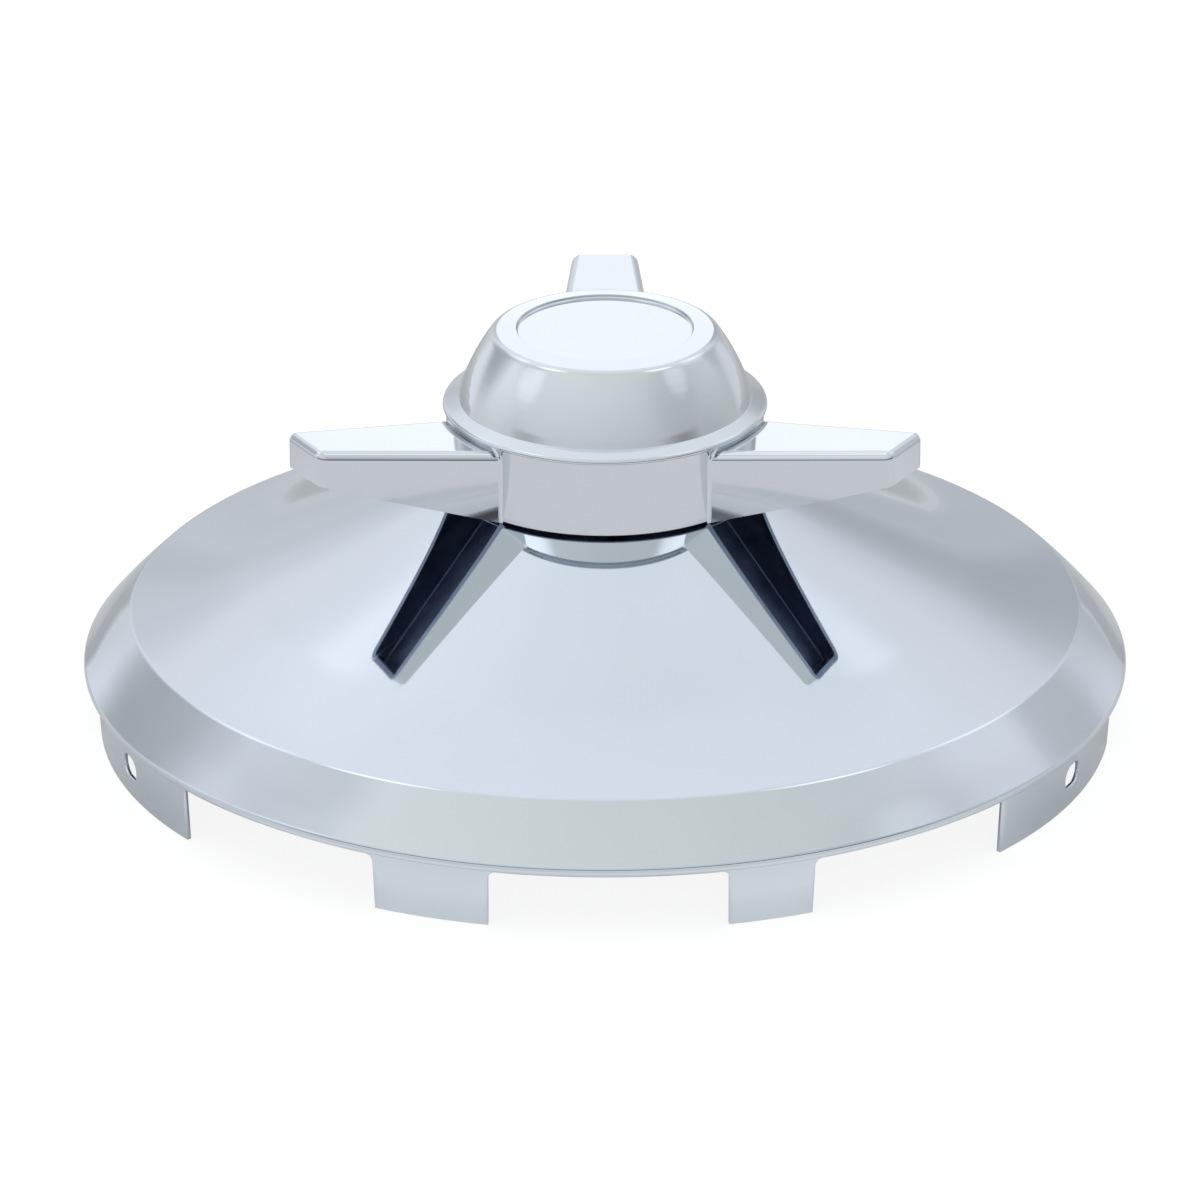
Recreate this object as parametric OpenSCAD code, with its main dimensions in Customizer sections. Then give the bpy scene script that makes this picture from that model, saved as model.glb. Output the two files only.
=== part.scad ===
// Spinner hubcap for the steered wheel of a heavy truck
// A pressed shell with a notched skirt carries a cast three-bar spinner, clamped by a stud and a nut
// The origin is the centre of the plane that the tabs' ends stand on, and +Z is the wheel's axis
// Angles around the axis start at -Y and grow towards +X

/* [Shell] */
// Thickness of the pressed sheet
sheet = 0.9; // [0.7:0.05:1.4]
// Widest diameter, at the rolled rim
rim_d = 224; // [214:1:250]
// Height of the rim's widest circle above the tabs' ends
rim_z = 15.3; // [12:0.1:24]
// Diameter of the shoulder between the cone and the bevel
shoulder_d = 203.4; // [190:0.2:208]
// Rise of the shoulder above the rim
shoulder_rise = 10.9; // [8:0.1:14]
// Diameter at which the cone's slope eases
ease_d = 162; // [140:1:176]
// Slope of the outer part of the cone
outer_slope = 18; // [14:0.5:22]
// Slope of the inner part of the cone
inner_slope = 25; // [20:0.5:28]
// Diameter of the flat seat at the top of the cone
seat_d = 28; // [24:0.5:34]
// Rounding of the shoulder
shoulder_round = 4; // [1:0.5:6]
// Rounding of the rim's outer bends
rim_round = 1.3; // [1.2:0.1:1.6]

/* [Skirt] */
// Outer diameter at the top of the skirt
skirt_d = 219; // [210:0.5:219]
// Inward taper of the skirt, from its top to the tabs' ends
skirt_taper = 0.9; // [0:0.1:2]
// Depth of the rolled edge below the widest circle
roll_depth = 2; // [1.6:0.1:3]
// Distance of the notches' tops below the rolled edge
notch_start = 0.9; // [0.6:0.1:3]
// Rounding of the notches' inner corners
notch_round = 1.6; // [0.5:0.1:3]
// Width of a tab's oval hole
tab_hole_w = 7.4; // [5.6:0.1:10]
// Height of a tab's oval hole
tab_hole_h = 5.3; // [3:0.1:5.5]
// Height of the oval holes above the tabs' ends
tab_hole_z = 6.9; // [5:0.1:8]

/* [Spinner body] */
// Outer diameter of the ring wall
ring_d = 67.6; // [60:0.2:72]
// Thickness of the ring wall
ring_wall = 2.8; // [2:0.1:4]
// Height of the ring wall, up to the flange
ring_h = 17; // [14:0.1:20]
// Running gap between the ring wall and the cone
ring_gap = 1; // [0.6:0.1:2]
// Outer diameter of the flange
flange_d = 69; // [67.6:0.1:74]
// Height of the flange's upright edge
flange_edge_h = 0.8; // [0.5:0.1:2]
// Diameter of the crease between the flange and the dome
crease_d = 64.2; // [58:0.2:66]
// Height of the crease above the flange's lower edge
crease_rise = 2.3; // [1.5:0.1:3]
// Diameter of the dome's top edge
dome_top_d = 48; // [44:0.2:54]
// Height of the dome's top edge above the crease
dome_rise = 14.7; // [10:0.1:20]
// Bulge of the dome's side at its middle
dome_bulge = 0.7; // [0:0.1:2]
// Rounding of the dome's top edge
dome_round = 1; // [0.5:0.1:2]
// Thickness of the dome's wall
dome_wall = 3; // [2.2:0.1:4]
// Diameter of the round recess in the top
recess_d = 38; // [20:0.2:40]
// Depth of the recess
recess_depth = 0.8; // [0.4:0.1:1.4]

/* [Spinner blades] */
// Number of blades
blade_count = 3; // [2:1:5]
// Distance of the blades' ends from the axis
blade_reach = 72; // [60:0.5:90]
// Width of a blade at its root
root_w = 21.6; // [16:0.2:26]
// Width of a blade at its tip
tip_w = 14.3; // [10:0.1:20]
// Height of a blade's upper face above the ring's lower edge, at the root
root_top = 15; // [12:0.1:16]
// Height of a blade's upper face above the ring's lower edge, at the tip
tip_top = 22.1; // [18:0.1:28]
// Height of a blade's lower rim above the ring's lower edge, at the root
root_rim = 0.4; // [0.3:0.1:3]
// Height of a blade's lower rim above the ring's lower edge, at the tip
tip_rim = 14.8; // [10:0.1:16]
// Rounding of a blade's edges
blade_round = 1.5; // [1:0.1:2.5]
// Thickness of a blade's walls
blade_wall = 1.3; // [1:0.1:1.8]
// Thickness of the wall at a blade's end
end_wall = 2; // [1:0.1:3]

/* [Fixing] */
// Diameter of the stud
stud_d = 10; // [8:0.5:12]
// Depth of the stud's seat in the boss
stud_seat = 14; // [8:0.5:16]
// Length of the stud below the nut
stud_end = 3; // [1:0.5:6]
// Diameter of the boss
boss_d = 20; // [18:0.5:22]
// Clearance around the stud in its threads
thread_gap = 0.05; // [0.02:0.01:0.1]
// Clearance around the stud in the shell and the washers
hole_gap = 0.4; // [0.2:0.05:0.6]
// Outer diameter of the flat washer
washer_d = 24; // [20:0.5:28]
// Thickness of the flat washer
washer_t = 2; // [1:0.1:3]
// Outer diameter of the lock washer
lock_d = 17.6; // [16:0.2:20]
// Thickness of the lock washer
lock_t = 2.2; // [1.5:0.1:3]
// Width of the lock washer's split
lock_split = 1.6; // [1:0.1:3]
// Width of the nut across its flats
nut_flats = 17; // [16:0.5:22]
// Height of the nut
nut_h = 8; // [5:0.5:10]

/* [Hidden] */
$fn = 96;
hull_fn = 24;
hull_skin = 0.01;
arc_step = 8;
cut = 1;

// Middle and width, in degrees, of each notch in the skirt
notches = [[-39.75, 27.5], [0.4, 26.2], [36.3, 26], [95, 26], [180, 26], [-98, 26]];
// Place, in degrees, of each oval hole
tab_holes = [-67, 64.7];
// The first blade points to the back, and the others follow at even steps
first_blade = 180;

// Radii and heights of the shell
rim_r = rim_d / 2;
skirt_r = skirt_d / 2;
shoulder_r = shoulder_d / 2;
ease_r = ease_d / 2;
seat_r = seat_d / 2;
shoulder_z = rim_z + shoulder_rise;
ease_z = shoulder_z + (shoulder_r - ease_r) * tan(outer_slope);
seat_z = ease_z + (ease_r - seat_r) * tan(inner_slope);
roll_z = rim_z - roll_depth;
notch_top = roll_z - notch_start;
ease_round = 65;
seat_round = 5;
skirt_round = 0.6;
stud_hole_r = stud_d / 2 + hole_gap;

// Radii and heights of the spinner
ring_r = ring_d / 2;
ring_z = ease_z + (ease_r - ring_r) * tan(inner_slope) + ring_gap;
flange_z = ring_z + ring_h;
crease_z = flange_z + crease_rise;
dome_top_z = crease_z + dome_rise;
recess_z = dome_top_z - recess_depth;
ring_inner_r = ring_r - ring_wall;
hollow_top_z = recess_z - dome_wall;
edge_round = 0.4;
root_land = 0.2;

// Stack of the fixing, from the shell downwards
washer_z = seat_z - sheet - washer_t;
lock_z = washer_z - lock_t;
nut_z = lock_z - nut_h;

// Unit vector from a to b
function unit(a, b) = (b - a) / norm(b - a);

// Vector v turned by a quarter turn to the left
function left(v) = [-v[1], v[0]];

// Vector v turned by an angle
function turned(v, angle) = [v[0] * cos(angle) - v[1] * sin(angle), v[0] * sin(angle) + v[1] * cos(angle)];

// Arc that rounds the corner b of the path a, b, c
function corner_arc(a, b, c, r) =
    let (u = unit(a, b), v = unit(b, c), turn = atan2(cross(u, v), u * v))
    r <= 0 ? [b] :
    let (side = sign(turn), start = b - u * r * tan(abs(turn) / 2), centre = start + left(u) * side * r)
    let (steps = max(2, ceil(abs(turn) / arc_step)))
    [for (i = [0 : steps]) centre + turned(start - centre, turn * i / steps)];

// Path whose corners are rounded, each with its own radius
function rounded(p, r) = [
    p[0],
    for (i = [1 : len(p) - 2], q = corner_arc(p[i - 1], p[i], p[i + 1], r[i])) q,
    p[len(p) - 1]
];

// Corner b of the path a, b, c after both its sides move to the right by d
function moved_corner(a, b, c, d) =
    let (u = unit(a, b), v = unit(b, c))
    b - (left(u) + left(v)) * d / (1 + u * v);

// Side, 1 for left and -1 for right, to which the path a, b, c turns
function turn_side(a, b, c) = sign(cross(b - a, c - b));

// Arc from a to b that bulges to the left of the straight way by the height h
function bulged(a, b, h, steps = 8) =
    [for (i = [1 : steps - 1]) let (t = i / steps) a + (b - a) * t + left(unit(a, b)) * h * 4 * t * (1 - t)];

// List p from its end to its start
function reversed(p) = [for (i = [len(p) - 1 : -1 : 0]) p[i]];

// Corners of the shell's outer face, from the stud's hole to the skirt's end
shell_path = [
    [stud_hole_r, seat_z],
    [seat_r, seat_z],
    [ease_r, ease_z],
    [shoulder_r, shoulder_z],
    [rim_r, rim_z],
    [rim_r, roll_z],
    [skirt_r, roll_z],
    [skirt_r - skirt_taper, 0]
];
shell_rounds = [0, seat_round, ease_round, shoulder_round, rim_round, rim_round, skirt_round, 0];
shell_ends = len(shell_path) - 1;

// Corners and roundings of the inner face, one sheet away from the outer face
inner_path = [
    shell_path[0] - [0, sheet],
    for (i = [1 : shell_ends - 1]) moved_corner(shell_path[i - 1], shell_path[i], shell_path[i + 1], sheet),
    shell_path[shell_ends] - [sheet / cos(atan(skirt_taper / roll_z)), 0]
];
inner_rounds = [
    0,
    for (i = [1 : shell_ends - 1])
        shell_rounds[i] + sheet * turn_side(shell_path[i - 1], shell_path[i], shell_path[i + 1]),
    0
];

// Opening of a notch, seen along the wheel's radius
module notch_outline(w) {
    corners = [[-w / 2, -cut], [-w / 2, notch_top], [w / 2, notch_top], [w / 2, -cut]];
    polygon(rounded(corners, [0, notch_round, notch_round, 0]));
}

// Oval hole of a tab, seen along the wheel's radius
module tab_hole_outline() {
    reach = (tab_hole_w - tab_hole_h) / 2;
    square([2 * reach, tab_hole_h], center = true);
    for (side = [-1, 1]) translate([side * reach, 0]) circle(d = tab_hole_h);
}

// Cutter that runs outwards through the skirt at an angle around the axis
module through_skirt(angle) {
    inside = skirt_r * 0.85;
    rotate([0, 0, angle - 90]) translate([inside, 0, 0]) rotate([90, 0, 90])
        linear_extrude(skirt_r - inside + cut) children();
}

module hub_cap() {
    color("gainsboro") difference() {
        rotate_extrude() polygon(concat(
            rounded(shell_path, shell_rounds),
            reversed(rounded(inner_path, inner_rounds))
        ));
        for (n = notches) through_skirt(n[0]) notch_outline(2 * skirt_r * sin(n[1] / 2));
        for (a = tab_holes) through_skirt(a) translate([0, tab_hole_z]) tab_hole_outline();
    }
}

// Hollow of the spinner's body, with the boss left standing in it and the ring's end cut to the cone's slope
module body_hollow() {
    slope_r = crease_d / 2 - dome_wall;
    top_r = dome_top_d / 2 - dome_wall;
    rotate_extrude() polygon([
        [boss_d / 2, hollow_top_z],
        [top_r, hollow_top_z],
        [slope_r, crease_z - dome_wall],
        [ring_inner_r, flange_z - dome_wall],
        [ring_inner_r, ring_z + ring_wall * tan(inner_slope)],
        [ring_r + cut, ring_z - cut * tan(inner_slope)],
        [ring_r + cut, ring_z - 2 * cut],
        [0, ring_z - 2 * cut],
        [0, seat_z],
        [boss_d / 2, seat_z]
    ]);
}

// Solid of revolution of the spinner's dome, flange and ring
module body_solid() {
    crown = rounded([
        [0, recess_z],
        [recess_d / 2, recess_z],
        [recess_d / 2, dome_top_z],
        [dome_top_d / 2, dome_top_z],
        [crease_d / 2, crease_z]
    ], [0, edge_round, edge_round / 2, dome_round, 0]);
    side_start = crown[len(crown) - 2];
    side_end = crown[len(crown) - 1];
    foot = rounded([
        side_end,
        [flange_d / 2, flange_z + flange_edge_h],
        [flange_d / 2, flange_z],
        [ring_r, flange_z],
        [ring_r, ring_z],
        [0, ring_z]
    ], [0, flange_edge_h, edge_round / 2, 0, edge_round, 0]);
    rotate_extrude() polygon(concat(
        [for (i = [0 : len(crown) - 2]) crown[i]],
        bulged(side_start, side_end, dome_bulge),
        foot
    ));
}

// Value at the radius r of what runs evenly from the ring wall to the blade's tip
function along(r, root, tip) = root + (tip - root) * (r - ring_r) / (blade_reach - ring_r);

// Outside of a blade along +X, with its upper edges and its corners rounded
module blade_block() {
    hull() for (side = [-1, 1], r = [ring_inner_r, blade_reach - blade_round]) {
        y = side * (along(r, root_w, tip_w) / 2 - blade_round);
        translate([r, y, ring_z + along(r, root_top, tip_top) - blade_round])
            sphere(r = blade_round, $fn = hull_fn);
        translate([r, y, ring_z + along(r, root_rim, tip_rim)])
            cylinder(r = blade_round, h = hull_skin, $fn = hull_fn);
    }
}

// Hollow under a blade, open at the bottom and closed by the ring wall
module blade_hollow() {
    start = ring_r + root_land;
    end = blade_reach - end_wall;
    roof = ring_z - blade_wall;
    intersection() {
        linear_extrude(dome_top_z) polygon([
            [start, blade_wall - along(start, root_w, tip_w) / 2],
            [end, blade_wall - along(end, root_w, tip_w) / 2],
            [end, along(end, root_w, tip_w) / 2 - blade_wall],
            [start, along(start, root_w, tip_w) / 2 - blade_wall]
        ]);
        rotate([90, 0, 0]) linear_extrude(2 * root_w, center = true) polygon([
            [start, ring_z - cut],
            [end, ring_z - cut],
            [end, roof + along(end, root_top, tip_top)],
            [start, roof + along(start, root_top, tip_top)]
        ]);
    }
}

module blade() {
    difference() {
        blade_block();
        blade_hollow();
    }
}

module spinner() {
    color("silver") difference() {
        union() {
            body_solid();
            for (i = [1 : blade_count]) rotate([0, 0, first_blade - 90 + i * 360 / blade_count]) blade();
        }
        body_hollow();
        translate([0, 0, seat_z - cut]) cylinder(d = stud_d + 2 * thread_gap, h = stud_seat + cut);
    }
}

module stud() {
    color("darkgray") translate([0, 0, nut_z - stud_end])
        cylinder(d = stud_d, h = seat_z + stud_seat - nut_z + stud_end);
}

module clamp_washer() {
    color("lightgray") translate([0, 0, washer_z]) difference() {
        cylinder(d = washer_d, h = washer_t);
        translate([0, 0, -cut]) cylinder(r = stud_hole_r, h = washer_t + 2 * cut);
    }
}

module lock_washer() {
    color("dimgray") translate([0, 0, lock_z]) difference() {
        cylinder(d = lock_d, h = lock_t);
        translate([0, 0, -cut]) cylinder(r = stud_hole_r, h = lock_t + 2 * cut);
        translate([0, -lock_split / 2, -cut]) cube([lock_d, lock_split, lock_t + 2 * cut]);
    }
}

module hex_nut() {
    color("lightgray") translate([0, 0, nut_z]) difference() {
        cylinder(d = nut_flats / cos(30), h = nut_h, $fn = 6);
        translate([0, 0, -cut]) cylinder(d = stud_d + 2 * thread_gap, h = nut_h + 2 * cut);
    }
}

hub_cap();
spinner();
stud();
clamp_washer();
lock_washer();
hex_nut();
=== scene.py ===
import math

import bmesh
import bpy
from bpy.props import FloatProperty, FloatVectorProperty, IntProperty, PointerProperty
from bpy.types import Operator, Panel, PropertyGroup
from mathutils import Matrix, Vector


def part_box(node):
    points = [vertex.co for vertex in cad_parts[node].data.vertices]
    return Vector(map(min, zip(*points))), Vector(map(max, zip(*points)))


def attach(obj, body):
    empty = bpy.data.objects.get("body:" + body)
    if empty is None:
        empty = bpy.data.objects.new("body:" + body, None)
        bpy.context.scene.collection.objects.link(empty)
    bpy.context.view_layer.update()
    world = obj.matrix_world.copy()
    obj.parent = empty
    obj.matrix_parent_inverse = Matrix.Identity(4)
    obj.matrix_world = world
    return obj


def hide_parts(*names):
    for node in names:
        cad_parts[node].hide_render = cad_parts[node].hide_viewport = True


bl_info = {
    "name": "Spinner Hubcap",
    "version": (1, 0, 0),
    "blender": (4, 5, 0),
    "location": "3D View > Sidebar > Hubcap",
    "description": "Builds a chromed wheel cap with a notched skirt and a cast three-bar spinner",
    "category": "Object",
}

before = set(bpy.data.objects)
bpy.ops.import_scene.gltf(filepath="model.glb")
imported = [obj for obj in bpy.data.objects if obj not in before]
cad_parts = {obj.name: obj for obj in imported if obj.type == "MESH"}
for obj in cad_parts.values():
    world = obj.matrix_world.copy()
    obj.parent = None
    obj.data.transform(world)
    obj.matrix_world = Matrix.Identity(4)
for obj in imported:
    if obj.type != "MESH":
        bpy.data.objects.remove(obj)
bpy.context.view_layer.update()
cap_low, cap_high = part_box("hub_cap")
spinner_low, spinner_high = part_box("spinner")
stud_low, stud_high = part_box("stud")
washer_low, washer_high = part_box("clamp_washer")
lock_low, lock_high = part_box("lock_washer")
nut_low, nut_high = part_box("hex_nut")

# Middle and width, in degrees from -Y towards +X, of each notch in the skirt
NOTCHES = ((-39.75, 27.5), (0.4, 26.2), (36.3, 26.0), (95.0, 26.0), (180.0, 26.0), (-98.0, 26.0))
# Place, in degrees, of each tab's oval hole
TAB_HOLES = (-67.0, 64.7)
# The cone from the shoulder inwards: radius at which each slope starts, slope in degrees, rounding there
CONE = ((0.1017, 14.8, 0.0022), (0.0965, 16.8, 0.128), (0.091, 19.3, 0.128), (0.085, 22.4, 0.128),
        (0.079, 25.0, 0.128), (0.031, 0.0, 0.06))
# The sheet's thickness, and the three heights that make up the spinner above its ring's foot
SHEET = 0.0009
RING_HEIGHT, CREASE_RISE, DOME_RISE = 0.0165, 0.0021, 0.0154
# How far a surface stays inside the CAD model's box
INSIDE = 0.00001
# Faces round the axis, and the coarsest angle and length of a rounding's faces
AROUND = 360
ROUND_STEP = math.radians(6)
ROUND_LENGTH = 0.001
# Points that are closer than this are one
SAME_POINT = 1e-7


# Sizes and colours

def length(name, description, default):
    """A size in metres."""
    return FloatProperty(name=name, description=description, default=default, unit="LENGTH", precision=5)


def slope(name, description, degrees):
    """An angle, given in degrees."""
    return FloatProperty(name=name, description=description, default=math.radians(degrees), subtype="ANGLE")


def tint(name, description, default):
    """A linear colour."""
    return FloatVectorProperty(name=name, description=description, default=default, size=3, subtype="COLOR",
                               min=0, max=1)


class HubcapShellSizes(PropertyGroup):
    """Sizes of the pressed shell."""

    sheet: length("Sheet", "Thickness of the pressed sheet", SHEET)
    rim_radius: length("Rim radius", "Radius of the widest circle", -cap_low.x - INSIDE)
    rim_height: length("Rim height", "Height of the widest circle above the tabs' ends", 0.0153)
    shoulder_rise: length("Shoulder rise", "Rise of the shoulder above the rim", 0.0109)
    belly: length("Belly", "How far the bevel bulges outwards at its middle", 0.0002)
    seat_radius: length("Seat radius", "Radius of the flat seat on top of the cone", 0.014)
    seat_height: length("Seat height", "Height of the seat above the tabs' ends", washer_high.z + SHEET)
    hole_radius: length("Hole radius", "Radius of the hole for the stud", 0.0054)
    seat_round: length("Seat rounding", "Rounding of the seat's edge", 0.005)
    belly_round: length("Belly rounding", "Rounding of the bevel's middle", 0.1)
    rim_round: length("Rim rounding", "Rounding of the rim's bends", 0.0013)
    roll_depth: length("Roll depth", "Depth of the rolled edge", 0.002)
    skirt_radius: length("Skirt radius", "Radius at the top of the skirt", 0.1095)
    skirt_round: length("Skirt rounding", "Rounding where the roll meets the skirt", 0.0006)
    skirt_taper: length("Skirt taper", "How far the skirt leans in towards its end", 0.0009)
    notch_start: length("Notch start", "Distance of the notches' tops below the rolled edge", 0.0009)
    notch_round: length("Notch rounding", "Rounding of the notches' inner corners", 0.0016)
    tab_hole_width: length("Hole width", "Width of a tab's oval hole", 0.0074)
    tab_hole_height: length("Hole height", "Height of a tab's oval hole", 0.0053)
    tab_hole_middle: length("Hole middle", "Height of the oval holes above the tabs' ends", 0.0069)


class HubcapSpinnerSizes(PropertyGroup):
    """Sizes of the cast spinner."""

    ring_radius: length("Ring radius", "Outer radius of the ring wall", 0.0338)
    ring_wall: length("Ring wall", "Thickness of the ring wall", 0.0028)
    ring_height: length("Ring height", "Height of the ring wall up to the flange", RING_HEIGHT)
    ring_foot: length("Ring foot", "Height of the ring's lower edge",
                      spinner_high.z - RING_HEIGHT - CREASE_RISE - DOME_RISE)
    flange_radius: length("Flange radius", "Outer radius of the flange", 0.0345)
    flange_edge: length("Flange edge", "Height of the flange's upright edge", 0.0009)
    crease_radius: length("Crease radius", "Radius of the crease below the dome", 0.0313)
    crease_rise: length("Crease rise", "Height of the crease above the flange", CREASE_RISE)
    crown_radius: length("Crown radius", "Radius of the dome's top edge", 0.024)
    dome_rise: length("Dome rise", "Height of the dome above the crease", DOME_RISE)
    dome_bulge: length("Dome bulge", "Bulge of the dome's side at its middle", 0.0007)
    crown_drop: length("Crown drop", "Fall of the top from the recess to the dome's edge", 0.0008)
    dome_round: length("Dome rounding", "Rounding of the dome's top edge", 0.0026)
    dome_wall: length("Dome wall", "Thickness of the dome's wall", 0.003)
    recess_radius: length("Recess radius", "Radius of the round recess in the top", 0.01875)
    recess_depth: length("Recess depth", "Depth of the recess", 0.0008)
    blade_count: IntProperty(name="Blades", description="Number of blades", default=3, min=2, max=5)
    blade_reach: length("Blade reach", "Distance of the blades' ends from the axis", 0.073)
    root_width: length("Root width", "Width of a blade at the ring", 0.0222)
    tip_width: length("Tip width", "Width of a blade at its end", 0.0143)
    root_top: length("Root top", "Height of a blade's top above the ring's foot, at the ring", 0.0159)
    tip_top: length("Tip top", "Height of a blade's top above the ring's foot, at its end", 0.0227)
    root_rim: length("Root rim", "Height of a blade's lower rim above the ring's foot, at the ring", 0.0004)
    tip_rim: length("Tip rim", "Height of a blade's lower rim above the ring's foot, at its end", 0.0148)
    blade_round: length("Blade rounding", "Rounding of a blade's edges", 0.002)
    blade_wall: length("Blade wall", "Thickness of a blade's walls", 0.0013)
    root_fillet: length("Root fillet", "Radius of the fillet between a blade and the ring", 0.0009)
    boss_radius: length("Boss radius", "Radius of the boss that takes the stud", 0.01)
    bore_radius: length("Bore radius", "Radius of the threaded bore in the boss", 0.00505)
    bore_depth: length("Bore depth", "Depth of the threaded bore in the boss", 0.014)


class HubcapFixingSizes(PropertyGroup):
    """Sizes of the stud, the washers and the nut."""

    thread_pitch: length("Thread pitch", "Pitch of the stud's thread", 0.0015)
    thread_depth: length("Thread depth", "Depth of the stud's thread", 0.0009)
    end_chamfer: length("End chamfer", "Chamfer at the stud's ends", 0.0012)
    hole_radius: length("Washer hole", "Radius of the washers' holes", 0.0054)
    split: length("Split", "Width of the lock washer's split", 0.0016)
    edge_round: length("Edge rounding", "Rounding of the washers' edges", 0.0002)
    nut_chamfer: slope("Nut chamfer", "Slope of the chamfer on the nut's corners", 30)
    nut_bore: length("Nut bore", "Radius of the nut's bore", 0.00505)
    countersink: length("Countersink", "Width of the countersink round the nut's bore", 0.0007)


class HubcapFinishes(PropertyGroup):
    """Colours of the finishes, as linear values."""

    shell_chrome: tint("Shell chrome", "Mirror of the chromed sheet", (0.655, 0.70, 0.755))
    casting_chrome: tint("Casting chrome", "Mirror of the chromed casting", (0.675, 0.705, 0.74))
    # The raw casting's dark colour is partly the dull plate of the hollow sides and partly painted shade in them
    raw_casting_and_shade: tint("Raw casting and painted shade", "Thinly plated hollow sides of the casting", (0.17, 0.19, 0.27))
    # The cast rim is a lighter copy of the raw casting, partly unpolished rims and partly painted light on them and
    # on the ring's lower edge
    cast_rim_and_light: tint("Cast rim and painted light", "Unpolished lower rims of the blades", (0.40, 0.45, 0.56))
    bright_zinc: tint("Bright zinc", "Zinc plate on the stud, the flat washer and the nut", (0.62, 0.64, 0.66))
    spring_steel: tint("Spring steel", "Oiled steel of the lock washer", (0.16, 0.165, 0.175))


class HubcapStageSettings(PropertyGroup):
    """Floor, light and camera."""

    floor_size: length("Floor size", "Radius of the floor", 0.8)
    floor_tint: tint("Floor colour", "Colour of the floor", (0.86, 0.875, 0.89))
    camera_distance: length("Camera distance", "Distance from the middle of the rim to the camera", 2.0)
    camera_rise: slope("Camera rise", "Height of the camera's view above the horizon", 23.74)
    camera_lens: FloatProperty(name="Lens", description="Focal length of the camera in millimetres", default=278.9)
    shift_x: FloatProperty(name="Shift X", description="Sideways shift of the picture", default=-5 / 1200)
    shift_y: FloatProperty(name="Shift Y", description="Upward shift of the picture", default=49.1 / 1200)


# Shared modelling steps

def turn_geometry(bm, geom, angle, steps, centre=(0, 0, 0), axis=(0, 0, 1), rise=0.0, merge=False):
    """Turn geometry about an axis and leave its trail."""
    return bmesh.ops.spin(bm, geom=geom, cent=centre, axis=axis, dvec=(0, 0, rise), angle=angle, steps=steps,
                          use_merge=merge, use_normal_flip=False, use_duplicate=False)["geom_last"]


def draw_profile(bm, corners, roundings, longest=0.008):
    """Draw a chain of edges through corners in the XZ plane, each corner rounded by its own radius."""
    pen = bm.verts.new((corners[0][0], 0, corners[0][1]))

    def line_to(pen, point):
        if (point - pen.co).length < SAME_POINT:
            return pen
        start = pen.co.copy()
        steps = math.ceil((point - start).length / longest)
        for i in range(steps):
            pen = bmesh.ops.extrude_vert_indiv(bm, verts=[pen])["verts"][0]
            pen.co = start.lerp(point, (i + 1) / steps)
        return pen

    for before, corner, after, radius in zip(corners, corners[1:], corners[2:], roundings):
        here = Vector((corner[0], 0, corner[1]))
        into = (here - Vector((before[0], 0, before[1]))).normalized()
        out = (Vector((after[0], 0, after[1])) - here).normalized()
        turn = math.atan2(into.x * out.z - into.z * out.x, into.dot(out))
        if not radius:
            pen = line_to(pen, here)
            continue
        start = here - into * radius * math.tan(abs(turn) / 2)
        pen = line_to(pen, start)
        centre = start + Vector((-into.z, 0, into.x)) * math.copysign(radius, turn)
        steps = max(3, math.ceil(abs(turn) / ROUND_STEP), math.ceil(radius * abs(turn) / ROUND_LENGTH))
        pen = turn_geometry(bm, [pen], turn, steps, centre, (0, -1, 0))[0]
    return line_to(pen, Vector((corners[-1][0], 0, corners[-1][1])))


def revolve(bm, steps=AROUND):
    """Turn the drawn profile once round the wheel's axis and close its seam and its poles."""
    turn_geometry(bm, [*bm.verts, *bm.edges], math.tau, steps, merge=True)
    bmesh.ops.remove_doubles(bm, verts=bm.verts, dist=SAME_POINT)
    bmesh.ops.recalc_face_normals(bm, faces=bm.faces)


def add_mesh(bm, part):
    """Move the whole of one mesh into another."""
    mesh = bpy.data.meshes.new("part")
    part.to_mesh(mesh)
    part.free()
    bm.from_mesh(mesh)
    bpy.data.meshes.remove(mesh)


def finish_piece(context, bm, name, node, materials, crease=math.radians(32)):
    """Make the object of a finished mesh, dress it and let it stand for its CAD node."""
    mesh = bpy.data.meshes.new(name)
    bm.to_mesh(mesh)
    bm.free()
    mesh.shade_smooth()
    mesh.set_sharp_from_angle(angle=crease)
    for material in materials:
        mesh.materials.append(material)
    piece = bpy.data.objects.new(name, mesh)
    context.scene.collection.objects.link(piece)
    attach(piece, "root")
    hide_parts(node)
    return piece


def weigh_normals(piece):
    """Keep flat faces flat next to their rounded edges."""
    weights = piece.modifiers.new("Weighted normals", "WEIGHTED_NORMAL")
    weights.mode = "FACE_AREA"
    weights.keep_sharp = True


# Shader node groups and materials

def new_group(name, inputs, outputs):
    """Start a shader node group with named number inputs and outputs."""
    group = bpy.data.node_groups.new(name, "ShaderNodeTree")
    for label, default in inputs:
        socket = group.interface.new_socket(label, in_out="INPUT", socket_type="NodeSocketFloat")
        socket.default_value = default
    for label in outputs:
        group.interface.new_socket(label, in_out="OUTPUT", socket_type="NodeSocketFloat")
    return group, group.nodes.new("NodeGroupInput"), group.nodes.new("NodeGroupOutput")


def feed(tree, value, socket):
    """Set a socket to a number, or link a value to it."""
    if isinstance(value, (int, float)):
        socket.default_value = value
    else:
        tree.links.new(value, socket)


def noise(tree, vector, scale, detail=2.0, roughness=0.5):
    """A noise texture on the piece's own coordinates."""
    node = tree.nodes.new("ShaderNodeTexNoise")
    node.inputs["Detail"].default_value = detail
    node.inputs["Roughness"].default_value = roughness
    tree.links.new(vector, node.inputs["Vector"])
    feed(tree, scale, node.inputs["Scale"])
    return node.outputs["Fac"]


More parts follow.
